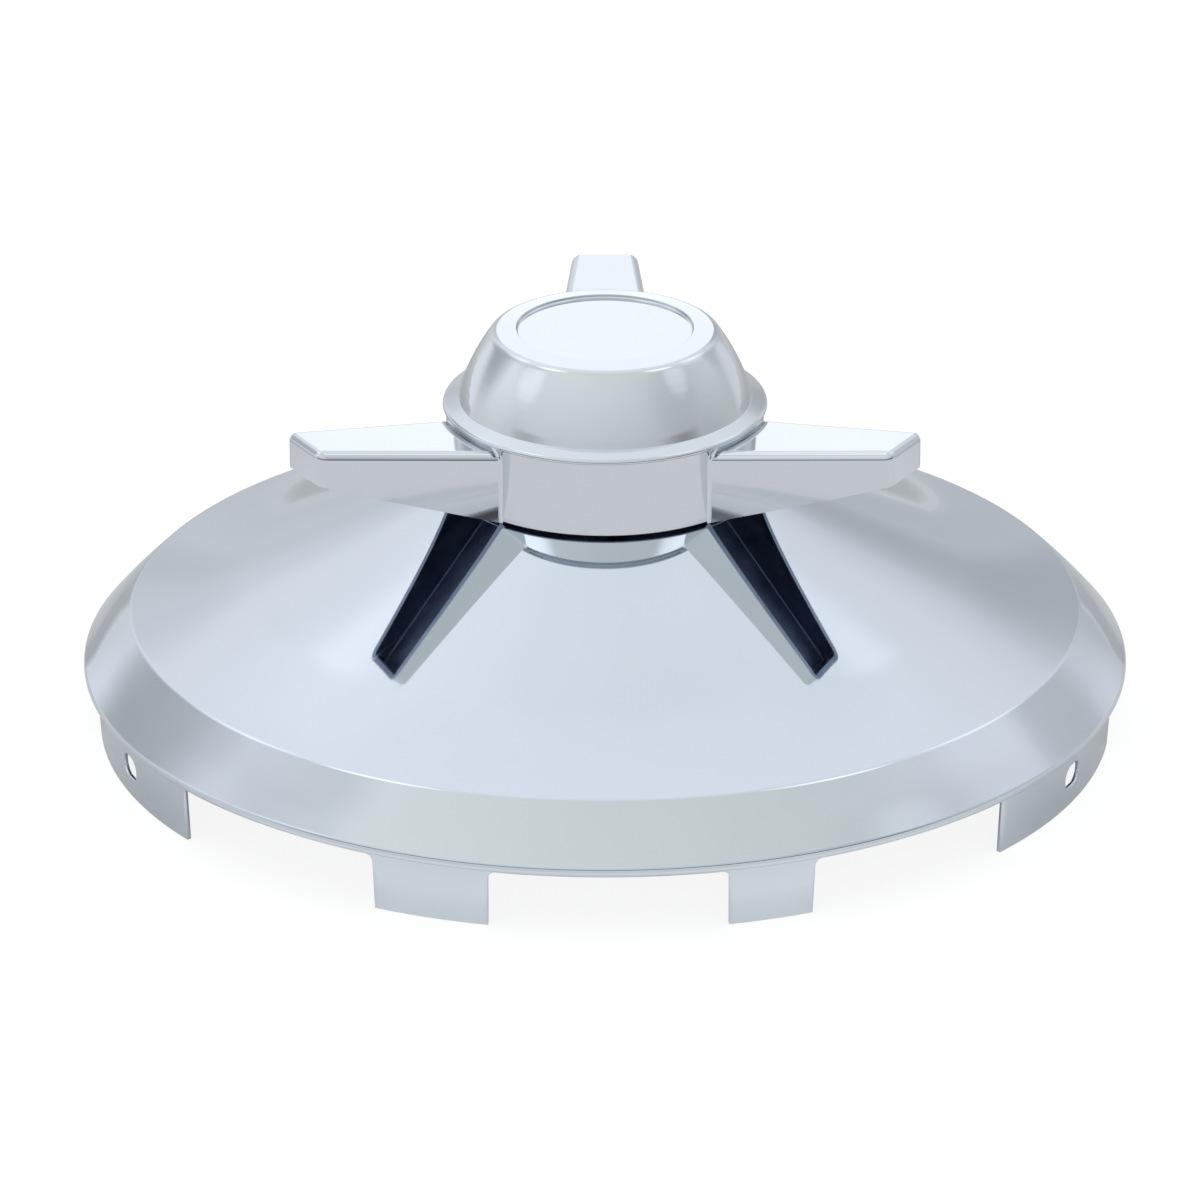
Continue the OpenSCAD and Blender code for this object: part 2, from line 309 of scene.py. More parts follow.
def spread(tree, value, low, high, to_low, to_high, kind="LINEAR"):
    """Map a value from one range to another and keep it inside."""
    node = tree.nodes.new("ShaderNodeMapRange")
    node.interpolation_type = kind
    labels = ("Value", "From Min", "From Max", "To Min", "To Max")
    for label, number in zip(labels, (value, low, high, to_low, to_high)):
        feed(tree, number, node.inputs[label])
    return node.outputs["Result"]


def ranges(tree, values, ends):
    """Map several values, each from and to its own range."""
    return [spread(tree, value, *its_ends) for value, its_ends in zip(values, ends)]


def sum_of(tree, kind, first, second):
    """Join two values with a math node."""
    node = tree.nodes.new("ShaderNodeMath")
    node.operation = kind
    feed(tree, first, node.inputs[0])
    feed(tree, second, node.inputs[1])
    return node.outputs["Value"]


def product(tree, first, *others):
    """Multiply values."""
    for other in others:
        first = sum_of(tree, "MULTIPLY", first, other)
    return first


def polish_group():
    """Haze and slow waves that polishing leaves under plated metal."""
    if "Polish" in bpy.data.node_groups:
        return bpy.data.node_groups["Polish"]
    tree, given, result = new_group("Polish", (("Roughness", 0.05), ("Haze", 0.03), ("Scale", 60.0)),
                                    ("Roughness", "Tone", "Waves"))
    place = tree.nodes.new("ShaderNodeTexCoord").outputs["Object"]
    cloud = noise(tree, place, given.outputs["Scale"], 3.0, 0.55)
    fine = noise(tree, place, 900.0, 2.0, 0.6)
    haze = product(tree, spread(tree, cloud, 0.4, 0.75, 0.0, 1.0), given.outputs["Haze"])
    grit = product(tree, spread(tree, fine, 0.35, 0.7, 0.0, 0.3), given.outputs["Haze"])
    tree.links.new(sum_of(tree, "ADD", given.outputs["Roughness"], sum_of(tree, "ADD", haze, grit)),
                   result.inputs["Roughness"])
    tree.links.new(spread(tree, cloud, 0.3, 0.7, 0.0, 1.0), result.inputs["Tone"])
    tree.links.new(noise(tree, place, product(tree, given.outputs["Scale"], 0.45), 1.0, 0.4), result.inputs["Waves"])
    return tree


def hairline_group():
    """A few very fine wiping scratches."""
    if "Hairlines" in bpy.data.node_groups:
        return bpy.data.node_groups["Hairlines"]
    tree, given, result = new_group("Hairlines", (("Scale", 90.0), ("Amount", 0.5)), ("Mask",))
    place = tree.nodes.new("ShaderNodeTexCoord").outputs["Object"]
    masks = []
    for turn, stretch in ((0.6, 0.05), (-0.9, 0.04)):
        mapping = tree.nodes.new("ShaderNodeMapping")
        mapping.inputs["Rotation"].default_value = (0.2, 0.3, turn)
        mapping.inputs["Scale"].default_value = (stretch, 1.0, 1.0)
        tree.links.new(place, mapping.inputs["Vector"])
        cells = tree.nodes.new("ShaderNodeTexVoronoi")
        cells.feature = "DISTANCE_TO_EDGE"
        tree.links.new(mapping.outputs["Vector"], cells.inputs["Vector"])
        tree.links.new(given.outputs["Scale"], cells.inputs["Scale"])
        line = spread(tree, cells.outputs["Distance"], 0.0, 0.012, 1.0, 0.0)
        patch = spread(tree, noise(tree, place, 35.0), 0.55, 0.7, 0.0, 1.0)
        masks.append(product(tree, line, patch))
    both = sum_of(tree, "MAXIMUM", masks[0], masks[1])
    tree.links.new(product(tree, both, given.outputs["Amount"]), result.inputs["Mask"])
    return tree


def turning_group():
    """Concentric tool marks on turned and stamped faces."""
    if "Turning marks" in bpy.data.node_groups:
        return bpy.data.node_groups["Turning marks"]
    tree, given, result = new_group("Turning marks", (("Scale", 700.0), ("Wobble", 0.6)), ("Height", "Tone"))
    place = tree.nodes.new("ShaderNodeTexCoord").outputs["Object"]
    rings = tree.nodes.new("ShaderNodeTexWave")
    rings.wave_type = "RINGS"
    rings.rings_direction = "Z"
    rings.inputs["Detail"].default_value = 3.0
    rings.inputs["Detail Scale"].default_value = 1.5
    tree.links.new(place, rings.inputs["Vector"])
    tree.links.new(given.outputs["Scale"], rings.inputs["Scale"])
    tree.links.new(given.outputs["Wobble"], rings.inputs["Distortion"])
    tree.links.new(rings.outputs["Fac"], result.inputs["Height"])
    tree.links.new(spread(tree, noise(tree, place, 260.0, 4.0, 0.6), 0.3, 0.7, 0.0, 1.0), result.inputs["Tone"])
    return tree


def place_group(tree, group, values):
    """Put a node group into a material with the material's own values."""
    node = tree.nodes.new("ShaderNodeGroup")
    node.node_tree = group
    for label, value in values.items():
        node.inputs[label].default_value = value
    return node


def two_tone(tree, factor, first, second):
    """Mix two colours over the surface."""
    node = tree.nodes.new("ShaderNodeMix")
    node.data_type = "RGBA"
    node.inputs["A"].default_value = (*first, 1)
    node.inputs["B"].default_value = (*second, 1)
    tree.links.new(factor, node.inputs["Factor"])
    return node.outputs["Result"]


def bump(tree, shader, height, distance, strength=1.0, normal=None):
    """Raise the surface by a height and feed the shader's normal."""
    node = tree.nodes.new("ShaderNodeBump")
    node.inputs["Distance"].default_value = distance
    node.inputs["Strength"].default_value = strength
    tree.links.new(height, node.inputs["Height"])
    if normal:
        tree.links.new(normal, node.inputs["Normal"])
    tree.links.new(node.outputs["Normal"], shader.inputs["Normal"])
    return node.outputs["Normal"]


def new_metal(name):
    """Start a metal material."""
    material = bpy.data.materials.new(name)
    material.use_nodes = True
    shader = material.node_tree.nodes["Principled BSDF"]
    shader.inputs["Metallic"].default_value = 1.0
    return material, material.node_tree, shader


def shade(colour, factor):
    """A colour made darker or lighter."""
    return tuple(min(1.0, c * factor) for c in colour)


def chrome(name, colour, roughness, haze, waves, scale):
    """Mirror plating with faint polishing haze, hairlines and waves."""
    material, tree, shader = new_metal(name)
    polish = place_group(tree, polish_group(), {"Roughness": roughness, "Haze": haze, "Scale": scale})
    lines = place_group(tree, hairline_group(), {"Scale": 70.0, "Amount": 0.06})
    tree.links.new(two_tone(tree, polish.outputs["Tone"], shade(colour, 0.985), shade(colour, 1.015)),
                   shader.inputs["Base Color"])
    tree.links.new(sum_of(tree, "ADD", polish.outputs["Roughness"], lines.outputs["Mask"]),
                   shader.inputs["Roughness"])
    bump(tree, shader, polish.outputs["Waves"], waves)
    return material


def raw_casting_and_shade(name, colour):
    """Thin dull plate on the unpolished hollow side of a die casting; its given colour is partly painted shade of the
    hollows, and in its lighter copy partly painted light at the rims.
    """
    material, tree, shader = new_metal(name)
    polish = place_group(tree, polish_group(), {"Roughness": 0.32, "Haze": 0.2, "Scale": 140.0})
    tree.links.new(two_tone(tree, polish.outputs["Tone"], shade(colour, 0.8), shade(colour, 1.25)),
                   shader.inputs["Base Color"])
    tree.links.new(polish.outputs["Roughness"], shader.inputs["Roughness"])
    place = tree.nodes.new("ShaderNodeTexCoord").outputs["Object"]
    bump(tree, shader, noise(tree, place, 1500.0, 2.0), 0.00006)
    return material


def plated_steel(name, colour, roughness, contrast):
    """Plated or oiled steel with tool marks."""
    material, tree, shader = new_metal(name)
    marks = place_group(tree, turning_group(), {"Scale": 420.0, "Wobble": 0.8})
    polish = place_group(tree, polish_group(), {"Roughness": roughness, "Haze": 0.14, "Scale": 220.0})
    tree.links.new(two_tone(tree, marks.outputs["Tone"], shade(colour, 1 - contrast), shade(colour, 1 + contrast)),
                   shader.inputs["Base Color"])
    tree.links.new(polish.outputs["Roughness"], shader.inputs["Roughness"])
    bump(tree, shader, marks.outputs["Height"], 0.00003)
    return material


# The pressed shell

# Facets of a window's rounded corner, and how far beside and below a window its cutting planes reach
CORNER_STEPS = 9
CUT_MARGIN = 0.004
BELOW = -0.001


def sheet_direction(degrees):
    """Outward and sideways unit vectors at an angle that grows from -Y towards +X."""
    a = math.radians(degrees)
    return Vector((math.sin(a), -math.cos(a), 0)), Vector((math.cos(a), math.sin(a), 0))


def window_planes(side, half_width, low, high, radius, round_low):
    """Planes around a window with rounded corners: a point on each plane and its outward normal."""
    planes = [(side * half_width, side), (side * -half_width, -side), (Vector((0, 0, high)), Vector((0, 0, 1)))]
    if round_low:
        planes.append((Vector((0, 0, low)), Vector((0, 0, -1))))
    for across in (-1, 1):
        for up in (-1, 1) if round_low else (1,):
            centre = side * across * (half_width - radius) + Vector((0, 0, high - radius if up > 0 else low + radius))
            for i in range(1, CORNER_STEPS):
                a = math.pi / 2 * i / CORNER_STEPS
                normal = side * across * math.cos(a) + Vector((0, 0, up * math.sin(a)))
                planes.append((centre + normal * radius, normal))
    return planes


def cut_window(bm, out, side, half_width, low, high, radius, round_low, top):
    """Cut a window through the part of the sheet that lies outwards, and clear what is inside it."""
    inside = [f for f in bm.faces if f.calc_center_median().z < top
              and f.calc_center_median().dot(out) > 0
              and abs(f.calc_center_median().dot(side)) < half_width + CUT_MARGIN]
    for point, normal in window_planes(side, half_width, low, high, radius, round_low):
        geom = {*inside, *(e for f in inside for e in f.edges), *(v for f in inside for v in f.verts)}
        cut = bmesh.ops.bisect_plane(bm, geom=list(geom), dist=SAME_POINT, plane_co=point, plane_no=normal)
        inside = [f for f in cut["geom"] if isinstance(f, bmesh.types.BMFace)
                  and (f.calc_center_median() - point).dot(normal) < 0]
    bmesh.ops.delete(bm, geom=inside, context="FACES")


def shell_profile(s):
    """Corners and roundings of the shell's outer face, from the stud's hole to the tabs' ends."""
    cone = [(CONE[0][0], s.rim_height + s.shoulder_rise)]
    for (start, degrees, _), (end, _, _) in zip(CONE, CONE[1:]):
        cone.append((end, cone[-1][1] + (start - end) * math.tan(math.radians(degrees))))
    roll = s.rim_height - s.roll_depth
    shoulder = cone[0]
    middle = ((shoulder[0] + s.rim_radius) / 2 + s.belly, (shoulder[1] + s.rim_height) / 2 + s.belly)
    corners = [(s.hole_radius, s.seat_height), (s.seat_radius, s.seat_height), *cone[::-1], middle,
               (s.rim_radius, s.rim_height), (s.rim_radius, roll), (s.skirt_radius, roll),
               (s.skirt_radius - s.skirt_taper, 0)]
    roundings = [s.seat_round, *[rounding for _, _, rounding in CONE[::-1]], s.belly_round, s.rim_round,
                 s.rim_round, s.skirt_round]
    return corners, roundings


class HUBCAP_OT_shell(Operator):
    """Press the conical shell with its shoulder, bevel, rolled rim and notched skirt."""

    bl_idname = "hubcap.shell"
    bl_label = "Pressed Shell"
    bl_options = {"REGISTER", "UNDO"}

    def execute(self, context):
        s = context.scene.hubcap_shell
        colours = context.scene.hubcap_finishes
        bm = bmesh.new()
        corners, roundings = shell_profile(s)
        draw_profile(bm, corners, roundings)
        revolve(bm)
        if sum(f.normal.z for f in bm.faces) < 0:
            bmesh.ops.reverse_faces(bm, faces=bm.faces)
        roll = s.rim_height - s.roll_depth
        for middle, width in NOTCHES:
            out, side = sheet_direction(middle)
            half = s.skirt_radius * math.sin(math.radians(width / 2))
            cut_window(bm, out, side, half, BELOW, roll - s.notch_start, s.notch_round, False, roll)
        for middle in TAB_HOLES:
            out, side = sheet_direction(middle)
            half = s.tab_hole_height / 2
            low, high = s.tab_hole_middle - half, s.tab_hole_middle + half
            cut_window(bm, out, side, s.tab_hole_width / 2, low, high, half, True, roll)
        skin = chrome("Chromed sheet", colours.shell_chrome, 0.02, 0.03, 0.00002, 26.0)
        piece = finish_piece(context, bm, "pressed_shell", "hub_cap", [skin])
        wall = piece.modifiers.new("Sheet", "SOLIDIFY")
        wall.thickness = s.sheet
        wall.offset = -1
        wall.use_even_offset = True
        weigh_normals(piece)
        return {"FINISHED"}


# The cast spinner

# Share of the ring's wall that a blade goes into, the rounding of the blades' lower rims, and steps of a fillet
BLADE_INSET = 0.85
RIM_ROUND = 0.00025
FILLET_STEPS = 6
# Rounding of the corners inside the casting, and the height of the rough edge inside the ring's foot, whose lighter
# finish is partly painted light in the gap under the ring
INNER_ROUND = 0.001
ROUGH_AND_LIT_EDGE = 0.004
# Slack when faces are picked by their middles
PICK_SLACK = 0.0002
# Places of the finishes among the casting's materials
MIRROR, RAW_AND_SHADE, RIM_AND_LIGHT = range(3)


def along(s, r, root, tip):
    """Value at the radius r of what runs evenly from the ring wall to a blade's end."""
    return root + (tip - root) * (r - s.ring_radius) / (s.blade_reach - s.ring_radius)


def body_profile(s, cone_slope, seat):
    """Corners and roundings of the casting's body, from the middle of its top round to the end of its bore."""
    foot = s.ring_foot
    flange = foot + s.ring_height
    crease = flange + s.crease_rise
    top = crease + s.dome_rise
    floor = top - s.recess_depth
    roof = floor - s.dome_wall
    inner = s.ring_radius - s.ring_wall
    edge = top - s.crown_drop
    start, end = Vector((s.crown_radius, edge)), Vector((s.crease_radius, crease))
    away = Vector((edge - crease, s.crease_radius - s.crown_radius)).normalized() * s.dome_bulge * 4
    bulge = [start.lerp(end, t) + away * t * (1 - t) for t in [i / 8 for i in range(1, 8)]]
    corners = [(0, floor), (s.recess_radius, floor), (s.recess_radius, top), (s.crown_radius, edge), *bulge,
               (s.crease_radius, crease), (s.flange_radius, flange + s.flange_edge), (s.flange_radius, flange),
               (s.ring_radius, flange), (s.ring_radius, foot),
               (inner, foot + s.ring_wall * math.tan(cone_slope)), (inner, flange - s.dome_wall),
               (s.crease_radius - s.dome_wall, crease - s.dome_wall), (s.crown_radius - s.dome_wall, roof),
               (s.boss_radius, roof), (s.boss_radius, seat), (s.bore_radius, seat),
               (s.bore_radius, seat + s.bore_depth), (0, seat + s.bore_depth)]
    crisp, plain, soft = 0.0002, 0.0003, 0.03
    roundings = [crisp * 2, crisp, s.dome_round, *[soft] * len(bulge), crisp, s.flange_edge, crisp, crisp, crisp,
                 plain, *[INNER_ROUND] * 4, 0.0005, plain, plain]
    return corners, roundings


def finish_body(bm, s):
    """Keep the mirror outside, leave the inside raw with its dark colour partly painted shade, and give the ring's
    lower edge the lighter rough finish, partly painted light.
    """
    roof = s.ring_foot + s.ring_height + s.crease_rise + s.dome_rise - s.recess_depth - s.dome_wall
    inner = s.ring_radius - s.ring_wall
    sideways, downwards = 0.2, -0.3
    for f in bm.faces:
        c = f.calc_center_median()
        r = math.hypot(c.x, c.y)
        inwards = f.normal.dot(Vector((c.x, c.y, 0))) < sideways * r
        hidden = c.z < roof + PICK_SLACK and r < inner + PICK_SLACK
        # The hollow inside takes the raw finish, whose dark colour is partly painted shade
        f.material_index = RAW_AND_SHADE if hidden and (inwards or r < s.boss_radius + INNER_ROUND) else MIRROR
        # The ring's lower edge takes the lighter rim finish, partly painted light
        low_wall = c.z < s.ring_foot + ROUGH_AND_LIT_EDGE and r > inner - PICK_SLACK
        if low_wall and (inwards or f.normal.z < downwards):
            f.material_index = RIM_AND_LIGHT


def make_blade(s):
    """Make one hollow blade along +X, open underneath and at the ring."""
    bm = bmesh.new()
    bmesh.ops.create_cube(bm, size=1)
    root = s.ring_radius - s.ring_wall * BLADE_INSET
    for v in bm.verts:
        r = s.blade_reach if v.co.x > 0 else root
        height = along(s, r, s.root_top, s.tip_top) if v.co.z > 0 else along(s, r, s.root_rim, s.tip_rim)
        v.co = (r, math.copysign(along(s, r, s.root_width, s.tip_width) / 2, v.co.y), s.ring_foot + height)
    bm.normal_update()
    bmesh.ops.delete(bm, geom=[f for f in bm.faces if f.normal.x < -0.9 or f.normal.z < -0.5], context="FACES")
    edges = [e for e in bm.edges if len(e.link_faces) == 2]
    bmesh.ops.bevel(bm, geom=edges, offset=s.blade_round, offset_type="OFFSET", segments=6, profile=0.5,
                    affect="EDGES", material=-1, clamp_overlap=True)
    bmesh.ops.recalc_face_normals(bm, faces=bm.faces)
    if max(bm.faces, key=lambda f: f.calc_area() * abs(f.normal.z)).normal.z < 0:
        bmesh.ops.reverse_faces(bm, faces=bm.faces)
    outside = set(bm.verts)
    bmesh.ops.solidify(bm, geom=list(bm.faces), thickness=s.blade_wall)
    past_root = root + INSIDE
    for f in bm.faces:
        near = [v in outside for v in f.verts]
        lower_rim = any(near) and f.calc_center_median().x > past_root
        # The lower rims take the lighter rim finish, partly painted light, and the hollow the raw finish, partly
        # painted shade
        f.material_index = MIRROR if all(near) else RIM_AND_LIGHT if lower_rim else RAW_AND_SHADE
    rim = [e for e in bm.edges if len(e.link_faces) == 2
           and sum(any(v in outside for v in f.verts) and not all(v in outside for v in f.verts)
                   for f in e.link_faces) == 1
           and min(v.co.x for v in e.verts) > past_root]
    bmesh.ops.bevel(bm, geom=rim, offset=RIM_ROUND, offset_type="OFFSET", segments=2, profile=0.5,
                    affect="EDGES", material=-1, clamp_overlap=True)
    return bm


def fillet_stations(s):
    """Places round a blade's section at the ring: kind, side or share of the width, and rise or turn of the edge."""
    stations = [("side", 1, 0.0), ("side", 1, 0.5)]
    turns = [math.pi / 2 * i / FILLET_STEPS for i in range(FILLET_STEPS + 1)]
    stations += [("edge", 1, turn) for turn in turns]
    stations += [("top", share, 0.0) for share in (0.75, 0.5, 0.25, 0.0, -0.25, -0.5, -0.75)]
    stations += [("edge", -1, turn) for turn in reversed(turns)]
    return stations + [("side", -1, 0.5), ("side", -1, 0.0)]


def blade_surface(s, kind, where, turn, x):
    """Point on a blade's outside and the outward normal there, at the distance x from the axis."""
    half = along(s, x, s.root_width, s.tip_width) / 2
    top = s.ring_foot + along(s, x, s.root_top, s.tip_top)
    rim = s.ring_foot + along(s, x, s.root_rim, s.tip_rim)
    run = s.blade_reach - s.ring_radius
    side_normal = Vector((s.root_width / 2 - s.tip_width / 2, run, 0)).normalized()
    top_normal = Vector((s.root_top - s.tip_top, 0, run)).normalized()
    if kind == "top":
        return Vector((x, where * (half - s.blade_round), top)), top_normal
    side_normal.y = math.copysign(side_normal.y, where)
    if kind == "side":
        z = rim + (top - s.blade_round - rim) * turn
        return Vector((x, where * half, z)), side_normal
    normal = (side_normal * math.cos(turn) + top_normal * math.sin(turn)).normalized()
    y = half - s.blade_round + s.blade_round * math.cos(turn)
    return Vector((x, where * y, top - s.blade_round + s.blade_round * math.sin(turn))), normal


def make_fillet(s):
    """Sweep the hollow fillet that joins a blade's sides and top to the ring."""
    bm = bmesh.new()
    f = s.root_fillet
    overlap, burial, rounds = 4 * INSIDE, 1.1, 8
    face = previous = None
    for kind, where, turn in fillet_stations(s):
        x = s.ring_radius
        for _ in range(rounds):
            point, normal = blade_surface(s, kind, where, turn, x)
            centre = point + normal * f
            x += math.sqrt(max((s.ring_radius + f) ** 2 - centre.y ** 2, 0)) - centre.x
        point, normal = blade_surface(s, kind, where, turn, x)
        centre = point + normal * f
        to_ring = -Vector((centre.x, centre.y, 0)).normalized()
        arc = [centre + to_ring.slerp(-normal, i / FILLET_STEPS) * f for i in range(FILLET_STEPS + 1)]
        deep = centre + (to_ring - normal) * f * burial
        loop = [deep, arc[0] + to_ring * overlap, *arc, arc[-1] - normal * overlap]
        if face is None:
            face = bm.faces.new([bm.verts.new(p) for p in loop])
        else:
            grown = bmesh.ops.extrude_face_region(bm, geom=[face])
            face = next(g for g in grown["geom"] if isinstance(g, bmesh.types.BMFace))
            for v in face.verts:
                nearest = min(range(len(previous)), key=lambda i: (previous[i] - v.co).length)
                v.co = loop[nearest]
        previous = loop
    bmesh.ops.recalc_face_normals(bm, faces=bm.faces)
    return bm


class HUBCAP_OT_spinner(Operator):
    """Cast the domed body with its flange and ring, and the hollow blades with their fillets."""

    bl_idname = "hubcap.spinner"
    bl_label = "Cast Spinner"
    bl_options = {"REGISTER", "UNDO"}

    def execute(self, context):
        s = context.scene.hubcap_spinner
        shell = context.scene.hubcap_shell
        colours = context.scene.hubcap_finishes
        under, outside = shell_profile(shell)[0][2:4]
        cone_slope = math.atan2(under[1] - outside[1], outside[0] - under[0])
        bm = bmesh.new()
        corners, roundings = body_profile(s, cone_slope, shell.seat_height)
        draw_profile(bm, corners, roundings)
        revolve(bm)
        finish_body(bm, s)
        for i in range(s.blade_count):
            turn = Matrix.Rotation(math.pi / 2 + i * math.tau / s.blade_count, 3, "Z")
            for part in (make_blade(s), make_fillet(s)):
                bmesh.ops.rotate(part, cent=(0, 0, 0), matrix=turn, verts=part.verts)
                add_mesh(bm, part)
        skin = chrome("Chromed casting", colours.casting_chrome, 0.045, 0.03, 0.00001, 40.0)
        # The raw finish is partly painted shade of the hollows, and the cast rim partly painted light at the rims and
        # the ring's lower edge
        inside = raw_casting_and_shade("Raw casting and painted shade", colours.raw_casting_and_shade)
        rim = raw_casting_and_shade("Cast rim and painted light", colours.cast_rim_and_light)
        piece = finish_piece(context, bm, "cast_spinner", "spinner", [skin, inside, rim])
        weigh_normals(piece)
        return {"FINISHED"}


# The fixing

# Shares of the pitch at which the thread's flank starts, its crest starts and its crest ends
THREAD_SECTION = (0.2, 0.56, 0.64)


class HUBCAP_OT_stud(Operator):
    """Cut the stud with its rolled thread."""

    bl_idname = "hubcap.stud"
    bl_label = "Threaded Stud"
    bl_options = {"REGISTER", "UNDO"}

    def execute(self, context):
        s = context.scene.hubcap_fixing
        colours = context.scene.hubcap_finishes
        crest = stud_high.x - 3 * INSIDE
        root = crest - s.thread_depth
        pitch = s.thread_pitch
        around = 32
        flank, crest_start, crest_end = (pitch * share for share in THREAD_SECTION)
        turns = math.ceil((stud_high.z - stud_low.z) / pitch) + 2
        bm = bmesh.new()
        start = stud_low.z - pitch
        draw_profile(bm, [(root, start), (root, start + flank), (crest, start + crest_start),
                          (crest, start + crest_end), (root, start + pitch)], [0, 0, 0])
        turn_geometry(bm, [*bm.verts, *bm.edges], math.tau * turns, around * turns, rise=pitch / around)
        bmesh.ops.remove_doubles(bm, verts=bm.verts, dist=10 * SAME_POINT)
        for height, up in ((stud_low.z, -1), (stud_high.z, 1)):
            cut = bmesh.ops.bisect_plane(bm, geom=[*bm.verts, *bm.edges, *bm.faces], dist=SAME_POINT,
                                         plane_co=(0, 0, height), plane_no=(0, 0, up), clear_outer=True)
            edges = [g for g in cut["geom_cut"] if isinstance(g, bmesh.types.BMEdge)]
            bmesh.ops.contextual_create(bm, geom=edges)
        for v in bm.verts:
            end = min(v.co.z - stud_low.z, stud_high.z - v.co.z)
            limit = crest - max(s.end_chamfer - end, 0)
            r = math.hypot(v.co.x, v.co.y)
            if r > limit:
                v.co.x *= limit / r
                v.co.y *= limit / r
        bmesh.ops.recalc_face_normals(bm, faces=bm.faces)
        metal = plated_steel("Bright zinc thread", colours.bright_zinc, 0.22, 0.08)
        finish_piece(context, bm, "threaded_stud", "stud", [metal])
        return {"FINISHED"}


def washer_section(bm, inner, outer, low, high, rounding):
    """Draw a washer's section as one face and round its corners."""
    corners = [(inner, low), (outer, low), (outer, high), (inner, high)]
    face = bm.faces.new([bm.verts.new((x, 0, z)) for x, z in corners])
    bmesh.ops.bevel(bm, geom=list(bm.verts), offset=rounding, offset_type="OFFSET", segments=3, profile=0.5,
                    affect="VERTICES", material=-1)
    return face


class HUBCAP_OT_washers(Operator):
    """Stamp the flat washer and wind the split lock washer."""

    bl_idname = "hubcap.washers"
    bl_label = "Washers"
    bl_options = {"REGISTER", "UNDO"}

    def execute(self, context):
        s = context.scene.hubcap_fixing
        colours = context.scene.hubcap_finishes
        bm = bmesh.new()
        washer_section(bm, s.hole_radius, washer_high.x, washer_low.z, washer_high.z, s.edge_round)
        bmesh.ops.delete(bm, geom=list(bm.faces), context="FACES_ONLY")
        revolve(bm, 120)
        metal = plated_steel("Bright zinc washer", colours.bright_zinc, 0.2, 0.06)
        finish_piece(context, bm, "flat_washer", "clamp_washer", [metal])

        bm = bmesh.new()
        washer_section(bm, s.hole_radius, lock_high.y, lock_low.z, lock_high.z, s.edge_round)
        # The split has its full width near the middle of the section, which is further out than the hole
        half_split = math.asin(s.split / 2 / s.hole_radius) * 0.8
        bmesh.ops.rotate(bm, cent=(0, 0, 0), matrix=Matrix.Rotation(half_split, 3, "Z"), verts=bm.verts)
        turn_geometry(bm, [*bm.verts, *bm.edges, *bm.faces], math.tau - 2 * half_split, 90)
        bmesh.ops.recalc_face_normals(bm, faces=bm.faces)
        metal = plated_steel("Oiled spring steel", colours.spring_steel, 0.34, 0.15)
        finish_piece(context, bm, "split_lock_washer", "lock_washer", [metal])
        return {"FINISHED"}


class HUBCAP_OT_nut(Operator):
    """Form the hexagon nut with its chamfered corners and countersunk bore."""

    bl_idname = "hubcap.nut"
    bl_label = "Hexagon Nut"
    bl_options = {"REGISTER", "UNDO"}

    def execute(self, context):
        s = context.scene.hubcap_fixing
        colours = context.scene.hubcap_finishes
        flats = nut_high.y
        bore, mouth = s.nut_bore, s.nut_bore + s.countersink
        sink = s.countersink + 0.0001
        washer_face = flats * 0.95
        around = 72
        bm = bmesh.new()
        loop = bmesh.ops.create_circle(bm, cap_ends=False, radius=1, segments=around)["verts"]
        angles = [math.atan2(v.co.y, v.co.x) for v in loop]

        def wall(angle):
            return flats / math.cos((angle - math.pi / 6) % (math.pi / 3) - math.pi / 6)

        def set_loop(verts, radius, height):
            for v, angle in zip(verts, angles):
                r = radius(angle)
                v.co = (r * math.cos(angle), r * math.sin(angle), height(r))

        drop = math.tan(s.nut_chamfer)
        low, high = nut_low.z, nut_high.z
        rows = [
            (lambda a: bore, lambda r: high - sink),
            (lambda a: mouth, lambda r: high),
            (lambda a: washer_face, lambda r: high),
            (wall, lambda r: high - (r - washer_face) * drop),
            (wall, lambda r: low + (r - washer_face) * drop),
            (lambda a: washer_face, lambda r: low),
            (lambda a: mouth, lambda r: low),
            (lambda a: bore, lambda r: low + sink),
        ]
        set_loop(loop, *rows[0])
        edges = list(bm.edges)
        for radius, height in rows[1:]:
            grown = bmesh.ops.extrude_edge_only(bm, edges=edges)["geom"]
            new = [g for g in grown if isinstance(g, bmesh.types.BMVert)]
            edges = [g for g in grown if isinstance(g, bmesh.types.BMEdge)]
            loop = [min(new, key=lambda n: (n.co - v.co).length) for v in loop]
            edges = [e for e in edges if all(v in loop for v in e.verts)]
            set_loop(loop, radius, height)
        rings = [e for e in bm.edges if len(e.link_faces) == 1]
        bmesh.ops.bridge_loops(bm, edges=rings)
        bmesh.ops.recalc_face_normals(bm, faces=bm.faces)
        metal = plated_steel("Bright zinc nut", colours.bright_zinc, 0.2, 0.07)
        finish_piece(context, bm, "hexagon_nut", "hex_nut", [metal], math.radians(20))
        return {"FINISHED"}


# The stage

